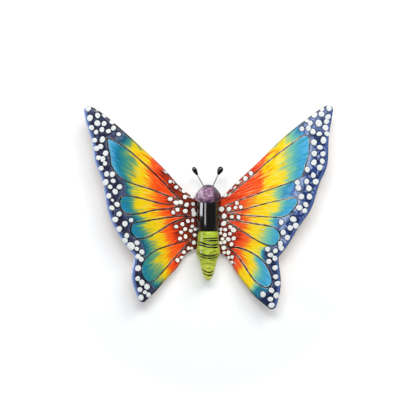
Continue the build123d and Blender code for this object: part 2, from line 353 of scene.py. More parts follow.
# %% Bearings and reach
def polar(point, root, side):
    """Bearing above the horizon, seen from the body outwards, and distance of a point from a root."""
    along = (point.x - root.x) * side
    return math.atan2(point.z - root.z, along), math.hypot(along, point.z - root.z)


def ray_table(shore, root, side):
    """The shore as bearings in rising order, each with its distance from the root."""
    table = sorted(polar(p, root, side) for p in shore)
    return [bearing for bearing, _ in table], [distance for _, distance in table]


def reach_at(bearing, table):
    """How far the shore is in one direction."""
    bearings, distances = table
    i = min(max(bisect.bisect(bearings, bearing), 1), len(bearings) - 1)
    run = max(bearings[i] - bearings[i - 1], 1e-6)
    t = min(max((bearing - bearings[i - 1]) / run, 0.0), 1.0)
    return distances[i - 1] * (1 - t) + distances[i] * t


left_corners = [place(*p) for p in LEFT_SHORE]
left_reach = reach_at(0.0, ray_table(left_corners, place(190, 210), -1))
print("straight out from the body the left shore is", round(left_reach / MM), "mm away")

# %% [markdown]
# A share of the way out becomes a paint number. Each colour turn is where one paint gives way to the
# next, so it lies halfway between their numbers, and the number rises evenly from turn to turn. Past
# the last turn it rises steeply to navy.

# %% The paint number
FULL_NAVY = 6.5
NAVY_RISE = 12
CELL_BLUE = 5.2


def paint_number(share, turns):
    """The paint number at a share of the way out: halfway between two paints at each turn."""
    stops = (0.0,) + turns
    if share >= stops[-1]:
        return min(len(turns) - 0.5 + (share - stops[-1]) * NAVY_RISE, FULL_NAVY)
    i = bisect.bisect(stops, share)
    start, end = stops[i - 1], stops[i]
    t = (share - start) / (end - start)
    return t * 0.5 if i == 1 else i - 1.5 + t


first_turns = LEFT_STRIPS[0][1]
print("paint along a strip:", [round(paint_number(tenth / 10, first_turns), 1) for tenth in range(11)])

# %% [markdown]
# A wing's plan holds its cells and strips. A place inside a cell takes that cell's colour turns. Any
# other place lies in a strip, and how many cells it lies below says in which. The plan also keeps
# the shore and the outlines as trees of points, which find the nearest point quickly.

# %% The plan of a wing
PLAN_STEP = 2 * MM
LINE_STEP = 0.8 * MM


def is_inside(point, polygon):
    """True if the point, seen from in front, falls inside the polygon."""
    inside = False
    for a, b in zip(polygon, polygon[1:] + polygon[:1]):
        if (a.z > point.z) != (b.z > point.z):
            if point.x < (b.x - a.x) * (point.z - a.z) / (b.z - a.z) + a.x:
                inside = not inside
    return inside


def near_tree(points):
    """The points as a tree that finds the nearest one quickly, seen from in front."""
    tree = KDTree(len(points))
    for i, point in enumerate(points):
        tree.insert(Vector((point.x, 0, point.z)), i)
    tree.balance()
    return tree


class WingPlan:
    """The places, roots and colour turns of one wing."""

    def __init__(self, side, shore, cells, strips):
        self.side = side
        shore = smooth_path([place(*p) for p in shore], PLAN_STEP)
        self.shore_tree = near_tree(shore)
        self.cells = []
        line_points, self.line_radii = [], []
        for outline, root, turns, line_width, lean in cells:
            root = place(*root)
            corners = [place(*p) for p in outline]
            line = smooth_path(corners, LINE_STEP)
            line_points += line
            self.line_radii += [line_width * MM / 2] * len(line)
            outline = smooth_path(corners, PLAN_STEP) + [root]
            middle = sum(outline, Vector()) / len(outline)
            width = max(abs(p.x - root.x) for p in outline)
            table = ray_table(shore, root, side)
            self.cells.append((outline, root, middle, turns, table, lean, width))
        self.line_tree = near_tree(line_points)
        self.strips = []
        for root, turns in strips:
            self.strips.append((place(*root), turns, ray_table(shore, place(*root), side)))

    def paint_at(self, point):
        """Paint number, 1 in a strip or 0 in a cell, bearing and distance at a point of the wing."""
        for outline, root, _, turns, table, lean, width in self.cells:
            if is_inside(point, outline):
                bearing, distance = polar(point, root, self.side)
                share = distance / reach_at(bearing, table)
                share += lean * (abs(point.x - root.x) / width - share)
                return min(paint_number(share, turns), CELL_BLUE), 0.0, bearing, distance
        cells_above = 0
        for _, root, middle, *_ in self.cells:
            out, up = middle - root, point - root
            cells_above += (out.x * up.z - out.z * up.x) * self.side < 0
        root, turns, table = self.strips[cells_above]
        bearing, distance = polar(point, root, self.side)
        return paint_number(distance / reach_at(bearing, table), turns), 1.0, bearing, distance


plans = {
    "left_wing": WingPlan(-1, LEFT_SHORE, LEFT_CELLS, LEFT_STRIPS),
    "right_wing": WingPlan(1, RIGHT_SHORE, RIGHT_CELLS, RIGHT_STRIPS),
}
print("paint at the middle of the left big cell:", plans["left_wing"].paint_at(place(140, 172)))

# %% [markdown]
# Each vertex of a skin stores its paint number, whether it lies in a strip, and its bearing and
# distance from the root, along which noise can be stretched into brush strokes. It also stores how
# far it is from the shore, from the edge of the nearest outline and from the rim, and whether that
# rim faces away from the body.

# %% Attributes on the skins
BEARING_RADIUS = 60.0
RIM_FACING = 0.4
SEAM_WIDTH = 2 * MM
VENT_REACH = 9 * MM


def rim_tree(mesh):
    """The places on the rim, which face sideways, and how far each faces +X.

    Near the seam only what faces up or down counts, because the walls of the vents aren't rim.
    """
    sideways = []
    for v in mesh.vertices:
        clear = abs(v.co.x) > VENT_REACH or v.normal.z * v.normal.z > abs(v.normal.x)
        if abs(v.normal.y) < RIM_FACING and abs(v.co.x) > SEAM_WIDTH and clear:
            sideways.append(v)
    return near_tree([v.co for v in sideways]), [v.normal.x for v in sideways]


def store(mesh, name, numbers):
    """Stores one number at each vertex."""
    mesh.attributes.new(name, "FLOAT", "POINT").data.foreach_set("value", numbers)


def write_paint(skin, plan):
    """Stores what the paint needs to know at each vertex; distances are in mm."""
    mesh = skin.data
    tree, facings = rim_tree(mesh)
    names = ("paint", "strip", "bearing", "outward", "shore", "line", "rim", "outer")
    values = {name: [] for name in names}
    for v in mesh.vertices:
        flat = Vector((v.co.x, 0, v.co.z))
        paint, strip, bearing, distance = plan.paint_at(flat)
        values["paint"].append(paint)
        values["strip"].append(strip)
        values["bearing"].append(bearing * BEARING_RADIUS)
        values["outward"].append(distance / MM)
        values["shore"].append(plan.shore_tree.find(flat)[2] / MM)
        _, nearest, gap = plan.line_tree.find(flat)
        values["line"].append((gap - plan.line_radii[nearest]) / MM)
        _, nearest, gap = tree.find(flat)
        values["rim"].append(gap / MM)
        values["outer"].append(facings[nearest] * plan.side)
    for name, numbers in values.items():
        store(mesh, name, numbers)
    print(skin.name, "rim distance up to", round(max(values["rim"]), 1), "mm")


for wing_name, plan in plans.items():
    write_paint(skins[wing_name], plan)

# %% [markdown]
# ## Brushed coloured glazes on fired clay
#
# The wings carry coloured glazes brushed on in radial strokes under a clear gloss. What the eye
# reads is the brushwork: one colour runs into the next in jagged tongues, about 1.7 mm wide and up
# to 18 mm long. Noise stretched along the strokes gives them, in the size of a stroke, of a broader
# tongue and of a single hair of the brush. Two more noises, the same in every direction, are for
# patches and pools.

# %% Brush strokes
STORED = ("paint", "strip", "bearing", "outward", "shore", "rim", "outer", "line", "halo")
# each brush mark's width and length in mm, and a shift that sets its noise apart from the others
BRUSHES = {"stroke": (1.7, 18.0, 3.0), "tongue": (4.5, 20.0, 8.0), "hair": (1.1, 16.0, 1.0)}
PATCH_SIZE = 5 * MM
POOL_SIZE = 8 * MM


def wing_places(tree):
    """What is known at a place of the wing: stored numbers, brush noises, position, patches."""
    at = {name: add_node(tree, "Attribute", attribute_name=name)["Fac"] for name in STORED}
    for brush, (width, length, shift) in BRUSHES.items():
        across = add_node(tree, "Math", (at["bearing"], width), operation="DIVIDE")[0]
        along = add_node(tree, "Math", (at["outward"], length), operation="DIVIDE")[0]
        vector = add_node(tree, "CombineXYZ", (across, along, shift))[0]
        at[brush] = add_node(tree, "TexNoise", {"Vector": vector, "Scale": 1.0, "Detail": 1.0})[0]
    at["spot"] = add_node(tree, "TexCoord")["Object"]
    sideways, _, at["height"] = add_node(tree, "SeparateXYZ", (at["spot"],))
    at["sideways"] = add_node(tree, "Math", (sideways,), operation="ABSOLUTE")[0]
    patch_inputs = {"Vector": at["spot"], "Scale": 1 / PATCH_SIZE, "Detail": 3.0, "Distortion": 0.8}
    at["patches"] = add_node(tree, "TexNoise", patch_inputs)[0]
    pool_inputs = {"Vector": at["spot"], "Scale": 1 / POOL_SIZE, "Detail": 2.0}
    at["pools"] = add_node(tree, "TexNoise", pool_inputs)[0]
    return at


print("brush marks, width and length in mm:", {brush: size[:2] for brush, size in BRUSHES.items()})

# %% [markdown]
# The three brush noises move the paint number up and down, so that the turns from colour to colour
# become jagged. The brush was calmer towards the blue end. A colour ramp then turns the number into
# a glaze. In a cell the number stays short of navy, and in a strip it may go on past it.

# %% Paint number to glaze
JAG_SHARES = {"stroke": 1.8, "tongue": 1.5, "hair": 1.8}
NOISE_MIDDLE = 0.5
CALM_PAINTS = (2.8, 4.2)
CALM_SHARE = 0.45
STRIP_EXTRA = 2.0
RAMP_TOP = 7.0


def jagged_number(tree, at):
    """The paint number, moved up and down by the brush."""
    jag = -NOISE_MIDDLE * sum(JAG_SHARES.values())
    for brush, share in JAG_SHARES.items():
        jag = add_node(tree, "Math", (at[brush], share, jag), operation="MULTIPLY_ADD")[0]
    calm = add_node(tree, "MapRange", (at["paint"], *CALM_PAINTS, 1.0, CALM_SHARE))[0]
    number = add_node(tree, "Math", (jag, calm, at["paint"]), operation="MULTIPLY_ADD")[0]
    limit = add_node(tree, "Math", (at["strip"], STRIP_EXTRA, CELL_BLUE), operation="MULTIPLY_ADD")[0]
    return add_node(tree, "Math", (number, limit), operation="MINIMUM")[0]


def paint_ramp(tree, number, paints):
    """The glaze for a paint number: each paint at its own number, and mixed in between."""
    share = add_node(tree, "Math", (number, RAMP_TOP), operation="DIVIDE")[0]
    ramp = add_node(tree, "ValToRGB", (share,))[0]
    elements = ramp.node.color_ramp.elements
    while len(elements) < len(paints):
        elements.new(1.0)
    for element, (paint, colour) in zip(elements, paints):
        element.position = paint / RAMP_TOP
        element.color = linear(colour)
    return ramp


print("the brush moves the number by up to", round(NOISE_MIDDLE * sum(JAG_SHARES.values()), 2))

# %% [markdown]
# Each further layer of glaze lies only in some places. The table says what each mask goes by, where
# it is 0 and where it is 1, in paint numbers, shares of a noise, or mm from a line, drop or rim. The
# patches make three of the distances ragged, where the glaze was dabbed on with a sponge or has run.

# %% Masks of the wing glaze
BODY_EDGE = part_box("thorax")[1][0]
RAGGED = {"ragged_shore": ("shore", 8.0), "ragged_rim": ("rim", 3.0), "ragged_body": ("sideways", 2 * MM)}


def add_masks(tree, at, look):
    """Adds the layers' masks to what is known at a place: what each goes by, where it is 0 and 1."""
    for name, (distance, raggedness) in RAGGED.items():
        ragged = (at["patches"], raggedness, at[distance])
        at[name] = add_node(tree, "Math", ragged, operation="MULTIPLY_ADD")[0]
    soft_masks = {
        "light_hair": ("hair", 0.54, 0.72), "dark_hair": ("hair", 0.46, 0.28),
        "deep_stroke": ("stroke", 0.52, 0.36), "warm": ("number", 3.9, 3.3),
        "cool": ("number", 4.1, 4.7), "margin": ("number", 5.4, 5.8),
        "low": ("height", -15 * MM, -35 * MM), "blotch": ("patches", 0.50, 0.64),
        "dark_pool": ("pools", 0.50, 0.38), "line_highlight_patch": ("pools", 0.44, 0.56),
        "beside_line": ("line", 0.75, 0.25), "shade_round_drop": ("halo", 1.8, 0.5),
        "facing_out": ("outer", -0.05, 0.35), "inner_rim_band": ("ragged_rim", 4.6, 2.2),
        "by_shore": ("ragged_shore", look["shore_width"] + 5.5, look["shore_width"]),
        "rim_band": ("ragged_rim", look["rim_width"] + 2.4, look["rim_width"]),
        "rim_edge": ("rim", look["edge_width"], 0.3),
        "by_body": ("ragged_body", BODY_EDGE + 3.4 * MM, BODY_EDGE + 1.8 * MM),
    }
    for name, (goes_by, none, full) in soft_masks.items():
        at[name] = add_node(tree, "MapRange", (at[goes_by], none, full), **SOFT)[0]
    # these change evenly, and their last two numbers are the least and the most they come to
    even_masks = {
        "yellowed": ("number", 0.9, 2.6, 0.3, 1.0), "cold": ("number", 3.0, 4.0, 0.3, 1.0),
        # light streaks stronger higher up: painted sheen
        "sheen_higher": ("height", -10 * MM, 30 * MM, 0.3, 1.0),
        "less_low": ("height", -35 * MM, -15 * MM, 0.45, 1.0),
        # paler towards the wing tips: painted sheen
        "tip": ("height", 100 * MM, 135 * MM, 0.0, look["tip_pale"]),
    }
    for name, (goes_by, *numbers) in even_masks.items():
        at[name] = add_node(tree, "MapRange", (at[goes_by], *numbers))[0]
    cloudy_and_sheen = add_node(tree, "Math", (at["blotch"], at["by_shore"]), operation="MAXIMUM")[0]
    cloudy_and_sheen = add_node(tree, "Math", (cloudy_and_sheen, at["less_low"]), operation="MULTIPLY")[0]
    at["cloudy_and_sheen"] = add_node(tree, "Math", (cloudy_and_sheen, at["tip"]), operation="MAXIMUM")[0]
    # the rims that face the body, which get painted shade and duller glaze
    inner = add_node(tree, "Math", (1.0, at["facing_out"]), operation="SUBTRACT")[0]
    at["shaded_inner_rim"] = add_node(tree, "Math", (at["inner_rim_band"], inner), operation="MULTIPLY")[0]


print("the thorax ends", round(BODY_EDGE / MM, 1), "mm from the seam")

# %% [markdown]
# The layers are laid on in this order. First the hairs of the brush leave fine light and dark
# streaks in the warm colours, and thick strokes of blue are deeper. The light streaks are stronger
# higher up and on the right wing, which is painted sheen. Past the shore the ground is sponged navy,
# with pale cloudy glaze near the shore and darker pools. The pale glaze is strongest on the right
# wing and near the tips, which is partly painted sheen. Beside the outlines lies a painted highlight
# in places, and round the drops a painted shade. The outer rims carry a band of blue, on the left
# wing partly a painted highlight, and an edge that is a painted highlight on the left wing and
# painted shade on the right one. The rims that face the body carry painted shade. Last comes the
# black glaze that has run off the thorax, with painted shade in the crease beside it.

# %% Layers of the wing glaze
def glaze_layers(look):
    """Tint, strength, masks and blend of each layer over the brushed paint, the lowest one first."""
    return [
        # light streaks of the brush, stronger higher up and on the right wing as painted sheen
        ("#FFF2B0", look["light_streaks_and_sheen"], ("light_hair", "warm", "yellowed", "sheen_higher"), "SCREEN"),
        ("#D89858", 0.5, ("dark_hair", "warm"), "MULTIPLY"),
        ("#90D0E0", 0.6, ("deep_stroke", "cool"), "MULTIPLY"),
        (look["strip_end"], 1.0, ("cool", "strip"), "MULTIPLY"),
        (look["low_end"], 1.0, ("cool", "strip", "low"), "MULTIPLY"),
        # pale cloudy glaze near the shore, strongest on the right wing and near the tips as painted sheen
        (look["pale"], look["pale_share"], ("cloudy_and_sheen", "margin"), "MIX"),
        (look["dark"], look["dark_share"], ("dark_pool", "margin"), "MIX"),
        # painted highlight beside the outlines, in patches
        ("#F2EEDC", look["line_highlight_share"], ("beside_line", "line_highlight_patch"), "MIX"),
        (look["dark"], look["low_dark"], ("low", "margin"), "MIX"),
        # painted shade round each drop
        (look["halo"], 0.6, ("shade_round_drop",), "MULTIPLY"),
        # band of blue on the outer rims, on the left wing partly a painted highlight
        (look["rim"], 0.9, ("rim_band", "facing_out", "margin"), "MIX"),
        # edge of the outer rims: painted highlight on the left wing, painted shade on the right one
        (look["edge"], 0.85, ("rim_edge", "facing_out"), "MIX"),
        # painted shade on the rims that face the body
        (look["shaded_inner_rim"], 0.85, ("shaded_inner_rim", "cold"), "MULTIPLY"),
        # black glaze run off the thorax, with painted shade in the crease beside the body
        ("#120C0C", 0.85, ("by_body",), "MIX"),
    ]


def painted_colour(tree, at, paints, look):
    """The brushed run from red to navy, with all its layers."""
    colour = paint_ramp(tree, at["number"], paints)
    for tint, strength, masks, blend in glaze_layers(look):
        colour = tinted(tree, colour, tint, strength, *(at[mask] for mask in masks), blend=blend)
    return colour


# %% [markdown]
# A fired glaze is glass, so its IOR is about 1.5, it isn't metallic, and its roughness is low. On the
# rims that face the body the glaze is duller. The glaze stops at the rim, and behind it the clay is
# bare: buff, gritty and dull, with soft flushes from the kiln.

# %% Glaze in front, bare clay behind
GLAZE_IOR = 1.5
CLAY_ROUGHNESS = 0.85
FACING_BACK = (0.78, 0.86)
GRIT_SIZE = 0.8 * MM
FLUSH_SIZE = 34 * MM


def bare_clay(tree, at):
    """Buff clay with grit and soft flushes from the kiln."""
    grit = add_node(tree, "TexNoise", {"Vector": at["spot"], "Scale": 1 / GRIT_SIZE, "Detail": 3.0})[0]
    clay_inputs = {0: grit, 6: linear("#CFA47E"), 7: linear("#B98A64")}
    clay = add_node(tree, "Mix", clay_inputs, data_type="RGBA")[2]
    flush_inputs = {"Vector": at["spot"], "Scale": 1 / FLUSH_SIZE, "Detail": 4.0, "Distortion": 0.6}
    flush = add_node(tree, "TexNoise", flush_inputs)[0]
    flush = add_node(tree, "MapRange", (flush, 0.46, 0.66), **SOFT)[0]
    return tinted(tree, clay, "#A8704A", 0.45, flush)


def wing_glaze(name, paints, look):
    """Painted glaze in front, bare clay behind."""
    finish, tree = new_finish(name)
    at = wing_places(tree)
    at["number"] = jagged_number(tree, at)
    add_masks(tree, at, look)
    colour = painted_colour(tree, at, paints, look)
    facing = add_node(tree, "SeparateXYZ", (add_node(tree, "NewGeometry")["Normal"],))[1]
    ragged = add_node(tree, "Math", (at["patches"], 0.5, facing), operation="MULTIPLY_ADD")[0]
    bare = add_node(tree, "MapRange", (ragged, *FACING_BACK), **SOFT)[0]
    mix = {0: bare, 6: colour, 7: bare_clay(tree, at)}
    colour = add_node(tree, "Mix", mix, data_type="RGBA")[2]
    gloss = add_node(tree, "Math", (at["tongue"], 0.10, 0.08), operation="MULTIPLY_ADD")[0]
    gloss = add_node(tree, "Math", (at["shaded_inner_rim"], 0.6, gloss), operation="MULTIPLY_ADD")[0]
    roughness = add_node(tree, "Mix", {0: bare, 2: gloss, 3: CLAY_ROUGHNESS})[0]
    relief = add_node(tree, "Math", (at["pools"], 2.4, at["stroke"]), operation="MULTIPLY_ADD")[0]
    cover(tree, relief, 0.12 * MM, {"Base Color": colour, "Roughness": roughness, "IOR": GLAZE_IOR})
    return finish


print("glaze bends light by", GLAZE_IOR, "and bare clay has a roughness of", CLAY_ROUGHNESS)

# %% [markdown]
# Each wing has a palette of its own: paint numbers with the colours read there from the photograph.
# The left palette is darker and the right one paler, which is partly paint, partly painted shade on
# the left wing and painted sheen on the right one. A look holds the colours of the layers that differ
# between the wings, how strongly they are laid on, and the widths of the cloudy shore, the rim's band
# and its edge in mm.

# %% Palettes of the two wings
LEFT_PAINTS = [
    (0.00, "#6A2216"), (0.35, "#862A18"), (0.60, "#DC360E"), (1.05, "#FA4A10"), (1.75, "#FC6614"),
    (2.20, "#FA8A14"), (2.50, "#F6B806"), (2.85, "#F6CE00"), (3.40, "#E6CE10"), (3.72, "#86AA5C"),
    (4.10, "#3C8E7E"), (4.50, "#1E7C98"), (4.75, "#2488B0"), (5.15, "#60B0D8"), (5.55, "#3C5476"),
    (6.00, "#324668"),
]
RIGHT_PAINTS = [
    (0.00, "#782619"), (0.35, "#9C301E"), (0.65, "#EE3E1C"), (1.20, "#FF4E22"), (1.75, "#FF6E28"),
    (2.20, "#FF981A"), (2.50, "#FFC80A"), (2.85, "#FFDA0C"), (3.40, "#F6E030"), (3.72, "#B0D082"),
    (4.10, "#78C2A6"), (4.50, "#58B2BE"), (4.75, "#44A6D0"), (5.15, "#5CB6E2"), (5.55, "#4C6EAE"),
    (6.00, "#304A8A"),
]
LEFT_LOOK = {
    "light_streaks_and_sheen": 0.26, "strip_end": "#FFAAAE", "low_end": "#FFFFFF", "halo": "#5A5560",
    "pale": "#5A6E94", "pale_share": 0.72, "shore_width": 3.0, "tip_pale": 0.35,
    "dark": "#161E30", "dark_share": 0.5, "low_dark": 0.0, "line_highlight_share": 0.3, "shaded_inner_rim": "#2C3034",
    "rim": "#6078B4", "rim_width": 4.2, "edge": "#C0D4F6", "edge_width": 2.4,
}
RIGHT_LOOK = {
    "light_streaks_and_sheen": 0.46, "strip_end": "#FFEAF0", "low_end": "#A0CAC4", "halo": "#5A5A70",
    "pale": "#9CB2DC", "pale_share": 0.95, "shore_width": 5.5, "tip_pale": 0.6,
    "dark": "#18264E", "dark_share": 0.75, "low_dark": 0.7, "line_highlight_share": 0.6, "shaded_inner_rim": "#A09C84",
    "rim": "#4E68A6", "rim_width": 3.6, "edge": "#1A2450", "edge_width": 1.3,
}
left_glaze = wing_glaze("brushed_glaze_left", LEFT_PAINTS, LEFT_LOOK)
right_glaze = wing_glaze("brushed_glaze_right", RIGHT_PAINTS, RIGHT_LOOK)
skins["left_wing"].data.materials.append(left_glaze)
skins["right_wing"].data.materials.append(right_glaze)
print("wing glazes:", left_glaze.name, right_glaze.name)

# %% [markdown]
# ## Raised dark outlines
#
# The cells are outlined with dark slip from a bulb, which leaves a thin raised bead 1.4 to 1.9 mm
# wide. A bump map would do from in front, but real relief catches the light and shows in a mesh
# that is printed or seen from the side. So each outline is a low tube draped over the skin: the
# place of each section comes from a ray cast on to the wing. The bead thins at its ends and swells
# a little here and there, as a squeezed bulb leaves it.

# %% Draping and a bead of slip
LINE_SIDES = 8
TAPER_SECTIONS = 8
TAPER_START = 0.35
SWELL = 0.3
SWELL_SIZE = 6 * MM
RAY_START_Y = -0.1
RIM_SEARCH_Y = -0.03


def drape(surface, point):
    """Where an upright place lands on a surface seen from in front, or its nearest rim, and the normal."""
    start = Vector((point.x, RAY_START_Y, point.z))
    hit, normal, _, _ = surface.ray_cast(start, Vector((0, 1, 0)))
    if hit is None:
        hit, normal, _, _ = surface.find_nearest(Vector((point.x, RIM_SEARCH_Y, point.z)))
    return hit, normal


def add_raised_line(bm, surface, points, width, height, depth):
    """One bead of slip along the points: rounded above the surface and sunk a little into it."""
    path = smooth_path(points, LINE_STEP)
    sections = []
    for i, point in enumerate(path):
        hit, normal = drape(surface, point)
        heading = path[min(i + 1, len(path) - 1)] - path[max(i - 1, 0)]
        across = normal.cross(heading).normalized()
        end_share = min(i, len(path) - 1 - i) / TAPER_SECTIONS
        swell = min(TAPER_START + end_share, 1.0) * (1 + SWELL * noise.noise(point / SWELL_SIZE))
        section = []
        for k in range(LINE_SIDES):
            angle = 2 * math.pi * k / LINE_SIDES
            rise = math.sin(angle) * (height if math.sin(angle) > 0 else depth)
            section.append(bm.verts.new(hit + across * math.cos(angle) * width / 2 * swell + normal * rise))
        sections.append(section)
    for a, b in zip(sections, sections[1:]):
        for k in range(LINE_SIDES):
            bm.faces.new([a[k], a[(k + 1) % LINE_SIDES], b[(k + 1) % LINE_SIDES], b[k]])
    bm.faces.new(sections[0][::-1])
    bm.faces.new(sections[-1])


mid_wing, _ = drape(surfaces["left_wing"], place(150, 200))
print("the middle of the left wing's face stands", round(-mid_wing.y / MM, 1), "mm off the wall")

# %% [markdown]
# Slip outlines, drops and rings all end the same way: one smooth mesh with one finish, fixed to the
# ceramic body. Relief on a rim could stick out past the imported ornament, so it is kept within its
# box from side to side and from top to bottom.

# %% A piece of relief
def finish_piece(bm, name, finish):
    """Makes one smooth object of the mesh, on the ceramic body."""
    bmesh.ops.recalc_face_normals(bm, faces=bm.faces)
    low, high = cad_box
    for v in bm.verts:
        v.co.x = min(max(v.co.x, low.x), high.x)
        v.co.z = min(max(v.co.z, low.z), high.z)
    mesh = bpy.data.meshes.new(name)
    bm.to_mesh(mesh)
    bm.free()
    mesh.shade_smooth()
    mesh.materials.append(finish)
    piece = bpy.data.objects.new(name, mesh)
    bpy.context.scene.collection.objects.link(piece)
    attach(piece, "ceramic_body")
    print(name, "has", len(mesh.polygons), "faces")


# %% [markdown]
# The slip is near black under clear glaze. It is thinner and browner in places. Higher up, and on
# the right wing, it is painted browner and lighter, as painted sheen where the light falls on it.

# %% Outlines of the cells
LINE_HEIGHT = 0.45 * MM
LINE_DEPTH = 0.5 * MM
WEAR_SIZE = 7 * MM
SHEEN_ABOVE = (-30 * MM, 30 * MM, -0.12, 0.12)


def slip_finish(name, dark, worn_and_sheen):
    """Near-black slip under clear glaze, thinner and browner in places, with painted sheen higher up."""
    finish, tree = new_finish(name)
    spot = add_node(tree, "TexCoord")["Object"]
    wear = add_node(tree, "TexNoise", {"Vector": spot, "Scale": 1 / WEAR_SIZE, "Detail": 2.0})[0]
    height = add_node(tree, "SeparateXYZ", (spot,))[2]
    # browner higher up: painted sheen
    sheen_above = add_node(tree, "MapRange", (height, *SHEEN_ABOVE))[0]
    share = add_node(tree, "Math", (wear, sheen_above), operation="ADD")[0]
    colour = two_tones(tree, share, 0.45, 0.7, dark, worn_and_sheen)
    cover(tree, wear, 0.2 * MM, {"Base Color": colour, "Roughness": 0.13, "IOR": GLAZE_IOR})
    return finish


slips = {
    "left_wing": slip_finish("outline_slip_left", "#131214", "#3A2E2A"),
    "right_wing": slip_finish("outline_slip_right", "#1E1C1E", "#84766C"),
}
for wing_name, cells in (("left_wing", LEFT_CELLS), ("right_wing", RIGHT_CELLS)):
    beads = bmesh.new()
    for outline, _, _, width, _ in cells:
        points = [place(*p) for p in outline]
        add_raised_line(beads, surfaces[wing_name], points, width * MM, LINE_HEIGHT, LINE_DEPTH)
    finish_piece(beads, wing_name + "_outlines", slips[wing_name])

# %% [markdown]
# ## Drops of thick white glaze
#
# About ninety drops of stiff white glaze stand on each wing, in loose rows along the margin and
# round the root. Their places are read row by row from the photograph. A third number is a drop's
# width, as a share of the usual one.

# %% Places of the drops
LEFT_MARGIN_ROWS = [
    [(88.6, 108.5, 1.25), (90.4, 118.4, 1.2), (92, 128), (95, 140.5),
     (96.8, 148.8), (99, 158), (101.5, 168.5)],
    [(98.2, 109.7, 0.8), (98, 116), (97.8, 123.6, 1.1), (96.5, 132.5, 0.9),
     (102.8, 139.8, 1.1), (101, 146.8), (103.3, 159.3)],
    [(104.9, 115.5), (104.5, 124), (102.3, 130),
     (108.8, 131.5, 0.9), (106, 153.5, 1.1), (105.5, 163.8, 0.9)],
    [(112.6, 122.2), (113.8, 128.5), (119, 134.5, 0.85), (107, 174.2), (112.7, 174.5, 1.1)],
    [(106, 182.5, 1.2), (113.5, 181, 0.9), (110.5, 187, 0.85), (119.8, 187), (115.5, 191.8, 1.05)],
    [(109.2, 196, 1.05), (112.8, 200.2, 0.6), (117.5, 204.5, 1.05), (112.2, 208, 1.0), (119.5, 214)],
    [(115.5, 219.5, 1.15), (131.3, 220.2, 0.85), (125.2, 223.8, 1.05), (119.5, 229, 1.15)],
    [(127, 235.5, 0.95), (125, 240.6, 1.15), (131, 246.2, 1.6),
     (137.2, 242.8, 0.95), (137, 248.8, 0.85)],
    [(142, 252), (138, 256.5), (141.2, 259.2, 1.05), (138.2, 268.2, 1.15), (137.8, 278.5, 0.95)],
    [(142, 282.5, 1.15), (147, 286.7, 1.1), (140, 289.5, 1.0),
     (145, 292.2, 0.8), (141, 297.5, 1.1), (148.7, 295)],
]
LEFT_ROOT_ROWS = [
    [(167.5, 171), (170, 181.5, 0.8), (176, 187.2, 0.85),
     (177.5, 181.3), (183.8, 190.8), (184.8, 197, 0.9)],
    [(192.5, 196.5), (193, 204, 0.9), (170, 199), (176, 202.7, 1.15), (180.5, 202.2), (186.5, 204.8)],
    [(193, 210.7), (194, 214.2, 1.1), (185.2, 211.2, 1.05), (177.3, 209.8, 0.9), (173, 212.5, 0.9)],
    [(187.8, 221.2, 0.9), (192.6, 220.6, 0.75), (182.2, 224.3, 0.9),
     (176, 226.8, 0.9), (192.2, 226.5, 0.8)],
    [(185, 229.3, 0.85), (190.6, 231, 0.85), (195.3, 229.5, 0.75),
     (181, 232.6, 0.85), (194.6, 235.4, 0.85)],
    [(185.4, 236.8, 0.9), (179.8, 238.8, 0.9), (193.8, 243, 0.9),
     (188.3, 248.6, 0.8), (191.8, 248.9, 0.8)],
    [(183.7, 252.5, 0.85), (181.9, 257.9, 0.85), (177.2, 260.5, 0.95)],
]
RIGHT_MARGIN_ROWS = [
    [(321.4, 109.6, 0.85), (306.4, 120.8, 0.8), (328.5, 108.7, 1.15), (321, 114.5, 1.1),
     (314, 115.5, 1.05), (327.5, 117.2, 1.1), (326, 122)],
    [(318.2, 123.6, 1.35), (309.8, 123.6), (325, 128.2, 1.15), (308, 128.6), (301.5, 129.2, 0.9)],
    [(312.5, 132, 1.05), (318.8, 134.2), (326.5, 134), (323, 140.6, 1.2), (313.5, 142.6, 1.15)],
    [(319.5, 147.6), (313.8, 153.8, 1.1), (322.5, 154.1, 1.05), (321.8, 161.4), (313.5, 162.8, 1.15)],
    [(319.3, 167.8, 1.1), (307, 169.8, 1.05), (312.8, 175.5),
     (297, 182.8), (306.3, 181.6), (315.3, 181.8, 1.15)],
    [(298, 188.1, 1.1), (308.5, 188.5, 1.1), (301, 196.7, 1.15), (309, 196.8, 1.1), (305.5, 204.7)],
    [(299, 207.7, 1.15), (304.3, 210.8), (293, 219.3, 1.2),
     (281, 222.2), (295.5, 225.7, 1.1), (290, 227.9)],
    [(283, 232.4, 1.05), (287.2, 237.6, 1.05), (280.2, 243.5),
     (281, 247.9, 1.05), (267.6, 249.2), (275.3, 250.8)],
    [(270.4, 254.9), (274.8, 258.3), (268.8, 261.5),
     (275, 267.7, 1.05), (275.5, 276.7), (277.5, 283.4, 1.05)],
    [(271.4, 290.3, 1.1), (276.3, 295.4, 1.1), (263, 294.5, 1.1), (270.4, 299.1), (271.5, 305.2, 1.15)],
]
